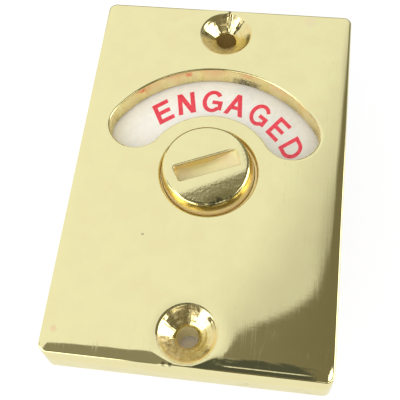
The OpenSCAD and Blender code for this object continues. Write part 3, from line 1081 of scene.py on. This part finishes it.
def addLetter(m, letter, x, z, turn, width, height, stroke, lean):
    quads = []
    for kind, cut in (("legs", legQuads), ("bars", barQuads)):
        for line in letterStrokes[letter].get(kind, ()):
            quads += cut([((px - 0.5) * width, (pz - 0.5) * height) for px, pz in line], stroke / 2)
    edges = [(4 * i + k, 4 * i + (k + 1) % 4) for i in range(len(quads)) for k in range(4)]
    spots, tris, mids = triangulate([p for q in quads for p in q], edges, 1e-5)[:3]
    inked = np.any([inRings([q], mids[:, 0], mids[:, 1]) for q in quads], axis=0)
    c, s = math.cos(math.radians(turn)), math.sin(math.radians(turn))
    first = len(m["points"])
    for vx, vz in spots:
        lx = vx + lean * vz
        addPoint(m, x + lx * c + vz * s, z - lx * s + vz * c, dialWords["faceH"] + dialWords["inkThick"])
    for tri in tris[inked]:
        addFace(m, [int(first + i) for i in tri])


def printInk(name, colour):
    mat, tree, bsdf = newMaterial(name)
    blot = noiseNode(objectSpot(tree), 1500.0, 3.0)
    thin = tuple(min(1, c * 1.35 + 0.02) for c in colour[:3]) + (1,)
    paint(bsdf, mixColour(rampNode(blot, 0.4, 0.72), colour, thin), rampNode(blot, 0.3, 0.7, 0.3, 0.45))
    return mat


def makeWord(name, colour, letters):
    m = startMesh()
    for letter in letters:
        addLetter(m, *letter)
    obj = finishMesh(m, name, [printInk(name + "Ink", colour)])
    faceFront(obj)
    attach(obj, "turning_set")


def freeLetters():
    w = dialWords
    letters = []
    middle = (len(w["freeWord"]) - 1) / 2
    for i, letter in enumerate(w["freeWord"]):
        turn = w["freeMiddle"] + (i - middle) * w["freeStep"]
        a = math.radians(turn)
        letters.append((letter, w["ring"] * math.sin(a), axisZ + w["ring"] * math.cos(a), turn) + w["freeLetter"])
    return letters


makeWord("wordLocked", dialWords["locked"], dialWords["lockedWord"])
makeWord("wordFree", dialWords["free"], freeLetters())
print("dial words drawn")

# materials of the CAD nodes that stay

enamelLook = {
    "clean": (0.96, 0.935, 0.865, 1), "aged": (0.92, 0.895, 0.81, 1), "agedAs": {"Scale": 90.0, "Amount": 0.3},
    "grey": (0.815, 0.795, 0.735, 1), "paintedShadeX": (0.003, 0.013),  # painted shade: greyer towards one end
}
# light and dark colour, roughness, wheel marks
metalLooks = {
    "sheetBrass": ((0.72, 0.58, 0.27, 1), (0.48, 0.35, 0.15, 1), 0.28, 2.0),
    "springSteel": ((0.30, 0.31, 0.34, 1), (0.16, 0.15, 0.16, 1), 0.3, 1.5),
    "brightSteel": ((0.62, 0.63, 0.65, 1), (0.46, 0.45, 0.44, 1), 0.22, 3.0),
}
nylonLook = {"dark": (0.74, 0.71, 0.62, 1), "light": (0.83, 0.81, 0.74, 1)}


def dress(node, mat):
    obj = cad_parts[node]
    obj.data.materials.clear()
    obj.data.materials.append(mat)


def dialEnamel():
    k = enamelLook
    mat, tree, bsdf = newMaterial("dialEnamel")
    spot = objectSpot(tree)
    aged = useGroup(tarnish, spot, k["agedAs"])["Mask"]
    # painted shade, the enamel greying towards one end
    grey = rampNode(splitSpot(spot)["X"], *k["paintedShadeX"])
    colour = mixColour(grey, mixColour(aged, k["clean"], k["aged"]), k["grey"])
    skin = noiseNode(spot, 500.0, 2.0)
    paint(bsdf, colour, rampNode(skin, 0.3, 0.7, 0.22, 0.34))
    bumpFrom(bsdf, skin, 0.15, 0.0001)
    return mat


def metalStock(name):
    light, dark, rough, marks = metalLooks[name]
    mat, tree, bsdf = newMaterial(name)
    spot = objectSpot(tree)
    polish = useGroup(polishMarks, spot, {"Wave": 0.2, "Marks": marks})
    aged = useGroup(tarnish, spot, {"Scale": 220.0, "Amount": 0.6})["Mask"]
    paint(bsdf, mixColour(aged, light, dark), rampNode(polish["Mask"], 0.0, 1.0, rough, rough + 0.2), 1.0)
    bumpFrom(bsdf, polish["Height"], 0.4, 0.0001)
    return mat


def nylonRing():
    mat, tree, bsdf = newMaterial("nylonRing")
    cloud = noiseNode(objectSpot(tree), 900.0, 3.0)
    colour = mixColour(cloud, nylonLook["dark"], nylonLook["light"])
    paint(bsdf, colour, rampNode(cloud, 0.3, 0.7, 0.4, 0.55))
    return mat


sheetBrass = metalStock("sheetBrass")
springSteel = metalStock("springSteel")
brightSteel = metalStock("brightSteel")
dress("dial_face", dialEnamel())
dress("dial_disc", sheetBrass)
dress("back_washer", sheetBrass)
dress("seat_washer", nylonRing())
dress("crinkle_washer", springSteel)
dress("circlip", springSteel)
for node in ("stop_pin", "spindle", "spindle_pin"):
    dress(node, brightSteel)
print("CAD nodes dressed")

# backdrop, light and reflection cards

boxWhite = (1, 0.98, 0.94, 1)
darkGlow = ((0.29, 0.27, 0.217, 1), (0.20, 0.18, 0.125, 1))  # left and right end

studio = {
    "backdropY": 0.0506, "backdropHalf": 1.2, "paper": (0.4, 0.4, 0.4, 1), "paperGlow": 0.62, "paperGloss": 0.88,
    "holePaperAndShade": ((0.95, 0.91, 0.88, 1), (0.52, 0.46, 0.33, 1)),  # behind the lower and the upper screw hole; the darker upper one is painted shade
    "holeR": 4.9, "holeUp": 1.5, "holeH": -0.6,
    "cardFar": 250.0,  # in front of the plate's face
    "lampSpot": (-0.10, -0.50, -0.42), "lampSize": 0.5, "lampPower": 1.6,
    "world": (0.86, 0.87, 0.88, 1),
    "worldFall": ((0.36, (1, 1, 1, 1)), (0.56, (0.93, 0.94, 0.95, 1)), (0.68, (0.34, 0.35, 0.33, 1))),
}
# dim cards: outline, distance past the common one, glow, soft edge, strength, half span of the glow
cards = {
    "darkCard": (
        ((-11.6, -5.0), (-10.5, 20.0), (-8.6, 37.2), (-1.5, 45.5), (12.6, 53.7), (25.3, 60.5), (32.0, 67.5),
         (35.2, 77.0), (37.4, 86.8), (39.4, 95.0), (43.0, 107.0), (62.0, 128.0), (72.0, 153.0), (92.0, 210.0),
         (150.0, 260.0), (260.0, 260.0), (260.0, -220.0), (-120.0, -220.0), (-120.0, -12.0),
         (-30.0, 4.0), (-14.0, 3.0)),
        0, darkGlow, 4.0, 1.0, 40.0),
    "hazeCard": (
        ((-30.0, 10.0), (-5.0, 62.0), (10.0, 84.0), (23.0, 118.0), (38.0, 170.0), (60.0, 240.0), (260.0, 280.0),
         (260.0, -85.0), (-30.0, -85.0)),
        4, darkGlow, 36.0, 0.32, 120.0),
    "edgeCard": (
        ((48.0, 0.0), (44.0, 60.0), (38.5, 80.0), (37.5, 92.0), (39.0, 107.0), (40.5, 119.0), (44.0, 133.0),
         (52.0, 155.0), (62.0, 185.0), (76.0, 215.0), (120.0, 290.0), (290.0, 290.0), (290.0, 0.0)),
        2, darkGlow, 18.0, 1.0, 40.0),
    "blackCard": (
        ((-8.0, 4.0), (6.0, 10.0), (16.0, 12.0), (23.0, 7.0), (29.0, -2.0), (34.0, -16.0), (38.0, -45.0),
         (44.0, -150.0), (-30.0, -150.0), (-30.0, -20.0)),
        -4, (0.085, 0.092, 0.08, 1), 5.0, 1.0, None),
}
# strips round the plate: line in the front view, heights, glow, power
curtains = {
    "rightBox": (((330, -75), (330, -55), (330, 170), (330, 200)), (8, 20, 290, 330), boxWhite, 3.0),
    "rightHigh": (((331, -190), (331, -170), (331, -40), (331, -20)), (235, 250, 330, 345), boxWhite, 3.0),
    "leftBox": (((-330, -70), (-330, -100), (-330, -370), (-330, -400)), (20, 40, 480, 520), boxWhite, 3.0),
    "lowBox": (((-330, -290), (-326, -328), (-75, -328), (-50, -328)), (20, 35, 170, 200), boxWhite, 3.0),
    "lowStrip": (((40, -327), (70, -327), (290, -327), (330, -327)), (300, 318, 410, 440), boxWhite, 2.2),
    "leftPanel": (
        ((-322, -190), (-322, -172), (-322, 0), (-322, 12)), (140, 155, 290, 305), (0.11, 0.10, 0.07, 1), 1.0),
    "topCloth": (((-430, 330), (-400, 330), (400, 330), (430, 330)), (2, 8, 170, 230), (0.13, 0.12, 0.085, 1), 1.0),
    "lowCloth": (
        ((-230, -330), (-180, -330), (330, -330), (380, -110), (385, -80)), (4, 14, 560, 620),
        (0.17, 0.15, 0.105, 1), 1.0),
}


def makeBackdrop():
    # white paper with the part's shadow on it, clear from behind
    s = studio
    b, y = s["backdropHalf"], s["backdropY"]
    mesh = bpy.data.meshes.new("backdrop")
    mesh.from_pydata([(-b, y, -b), (b, y, -b), (b, y, b), (-b, y, b)], [], [(0, 1, 2, 3)])
    obj = addObject("backdrop", mesh)
    mat, tree, bsdf = newMaterial("backdropPaper")
    paint(bsdf, s["paper"], 0.9)
    path = addNode(tree, "LightPath").outputs
    mirrored = mathNode("MAXIMUM", times(path["Is Glossy Ray"], s["paperGloss"]), path["Is Transmission Ray"])
    seen = mathNode("MAXIMUM", path["Is Camera Ray"], mirrored)
    glow = addNode(tree, "Emission", {"Strength": times(seen, s["paperGlow"])})
    both = addNode(tree, "AddShader")
    feed(bsdf.outputs[0], both.inputs[0])
    feed(glow.outputs[0], both.inputs[1])
    clearBehind(both)
    mesh.materials.append(mat)


def makeHoleSheet():
    # paper close behind each screw hole, clear from behind; the paper behind the upper hole is coloured as painted
    # shade
    k = studio
    m = startMesh()
    for s in (-1, 1):
        spots = circleOutline(0, s * facePlate["screwZ"] + k["holeUp"], k["holeR"], 48)
        fillSheet(m, [addRing(m, spots, k["holeH"])], k["holeH"])
    mat, tree, bsdf = newMaterial("holePaperAndShade")
    # darker paper behind the upper hole: painted shade
    upper = rampNode(splitSpot(objectSpot(tree))["Z"], -0.01, 0.01)
    paint(bsdf, mixColour(upper, *k["holePaperAndShade"]), 0.9)
    clearBehind(bsdf)
    obj = finishMesh(m, "holeSheet", [mat])
    faceFront(obj)
    obj.visible_diffuse = False
    obj.visible_shadow = False


def smoothLoop(corners, rounds=2):
    # cuts the corners of a closed line a few times
    for _ in range(rounds):
        pairs = list(zip(corners, corners[1:] + corners[:1]))
        corners = [between(a, b, share) for a, b in pairs for share in (0.25, 0.75)]
    return corners


def grown(corners, d):
    # the closed line moved outwards by d
    turn = sum(ax * bz - bx * az for (ax, az), (bx, bz) in zip(corners, corners[1:] + corners[:1]))
    way = 1 if turn < 0 else -1
    spots = []
    for i, (x, z) in enumerate(corners):
        (ax, az), (bx, bz) = corners[i - 1], corners[(i + 1) % len(corners)]
        far = math.hypot(bx - ax, bz - az)
        spots.append((x - way * (bz - az) / far * d, z + way * (bx - ax) / far * d))
    return spots


def hangCard(m, name, glow, power=1.0, strength=1.0, span=None):
    # seen only in reflections and covering as far as the points' tone says
    # with a span, glow is the colour at its left and at its right end
    mat, tree = newMaterial(name + "Cloth")[:2]
    if span:
        glow = mixColour(rampNode(splitSpot(objectSpot(tree))["X"], -span * mm, span * mm), *glow)
    shine = addNode(tree, "Emission", {"Color": glow, "Strength": power})
    cover = addNode(tree, "MapRange", {"Value": pointValue(tree, "tone"), "To Max": strength})
    cover.interpolation_type = "SMOOTHSTEP"
    showMix(cover.outputs["Result"], addNode(tree, "BsdfTransparent"), shine)
    obj = finishMesh(m, name, [mat])
    obj.visible_camera = False
    obj.visible_diffuse = False
    obj.visible_shadow = False
    obj.visible_transmission = False


def makeCard(name, corners, past, glow, soft, strength, span):
    # a dim card in front of the plate, fading out over soft mm at its edge
    m = startMesh()
    high = facePlate["thick"] + studio["cardFar"] + past
    line = smoothLoop(corners)
    outside = addRing(m, grown(line, soft / 2), high, 0.0)
    inside = addRing(m, grown(line, -soft / 2), high, 1.0)
    band(m, outside, inside)
    fillSheet(m, [inside], high, tone=1.0)
    hangCard(m, name, glow, strength=strength, span=span)


def makeCurtain(name, line, rows, glow, power):
    # an upright strip beside the plate, fading out along its border
    m = startMesh()
    n = len(line)
    for k, h in enumerate(rows):
        for i, (x, z) in enumerate(line):
            addPoint(m, x, z, h, 0.0 if i in (0, n - 1) or k in (0, len(rows) - 1) else 1.0)
    for k in range(len(rows) - 1):
        for i in range(n - 1):
            first = k * n + i
            addFace(m, (first, first + 1, first + n + 1, first + n))
    hangCard(m, name, glow, power)


def makeWorld():
    world = bpy.data.worlds.new("studioWorld")
    scene.world = world
    world.use_nodes = True
    tree = world.node_tree
    ground = tree.nodes["Background"]
    path = addNode(tree, "LightPath").outputs
    aim = splitSpot(addNode(tree, "TexCoord").outputs["Generated"])
    # reflections fall off towards the right of the room
    fall = addNode(tree, "ValToRGB", {"Fac": rampNode(aim["X"], -1.0, 1.0)})
    stops = fall.color_ramp.elements
    stops.new(0.5)
    for stop, (where, colour) in zip(stops, studio["worldFall"]):
        stop.position, stop.color = where, colour
    seen = mathNode("MAXIMUM", path["Is Camera Ray"], path["Is Transmission Ray"])
    tone = mixColour(path["Is Glossy Ray"], studio["world"], fall.outputs["Color"])
    feed(mixColour(seen, tone, (1, 1, 1, 1)), ground.inputs["Color"])
    ground.inputs["Strength"].default_value = 1.0


def makeLamp():
    s = studio
    data = bpy.data.lights.new("softBox", "AREA")
    data.size = s["lampSize"]
    data.energy = s["lampPower"]
    obj = addObject("softBox", data)
    obj.location = s["lampSpot"]
    obj.rotation_mode = "QUATERNION"
    obj.rotation_quaternion = (-Vector(s["lampSpot"])).to_track_quat("-Z", "Y")
    obj.visible_glossy = False


makeBackdrop()
for name, card in cards.items():
    makeCard(name, *card)
for name, curtain in curtains.items():
    makeCurtain(name, *curtain)
makeHoleSheet()
makeWorld()
makeLamp()
print("studio set")
